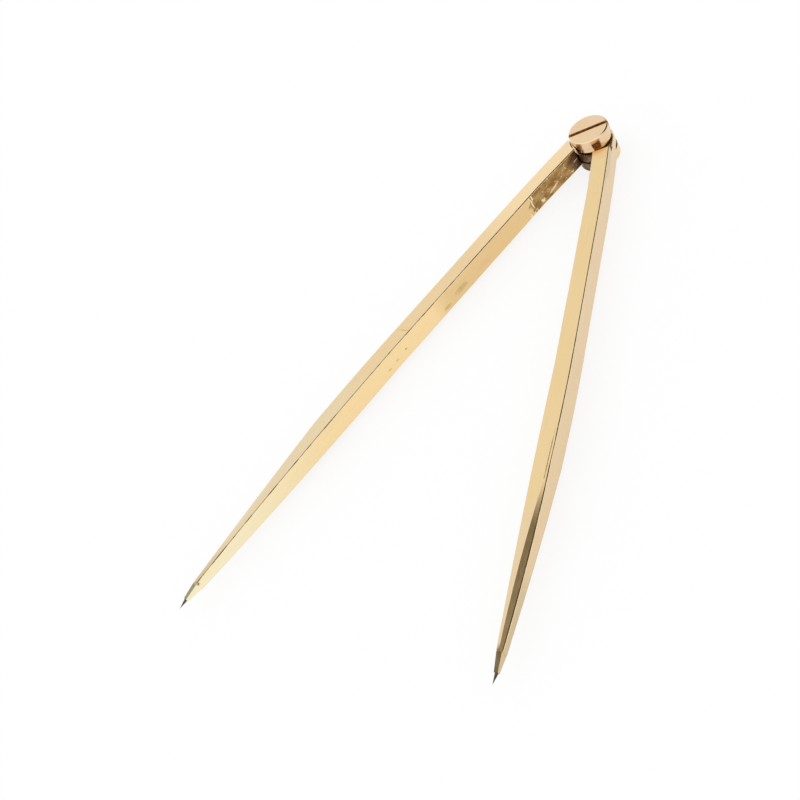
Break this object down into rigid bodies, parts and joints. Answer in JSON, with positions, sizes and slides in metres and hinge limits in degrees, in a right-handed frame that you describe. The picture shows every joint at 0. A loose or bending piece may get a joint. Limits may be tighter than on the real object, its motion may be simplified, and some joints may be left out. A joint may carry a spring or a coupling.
{
  "type": "chart divider",
  "caption": "Brass chart divider: slim tapering legs with steel points, hinged on a large slotted pivot screw with a friction lap joint.",
  "frame": {"origin": "on the pivot axis, at the base of the slotted screw head, level with the front of the legs", "axes": "+Z along the pivot axis, out of the slotted head; -Y along the line midway between the legs, towards the points; +X towards the right leg"},
  "size_m": [0.0886, 0.1593, 0.0098],
  "materials": {
    "leg_brass": "polished, hand filed, edges lightly tarnished",
    "screw_brass": "turned and polished",
    "washer_brass": "dull, oiled and tarnished",
    "point_steel": "ground, darkened"
  },
  "bodies": {
    "left": {"left_leg": "leg_brass", "left_point": "point_steel", "pivot_screw": "screw_brass", "head_washer": "washer_brass", "leaf_washer": "washer_brass", "lock_nut": "screw_brass"},
    "right": {"right_leg": "leg_brass", "right_point": "point_steel"}
  },
  "joints": [
    {"name": "leg_hinge", "type": "hinge", "parent": "left", "child": "right", "pos_m": [0, 0, -0.0031], "axis": [0, 0, 1], "range_deg": [-32, 148]}
  ]
}
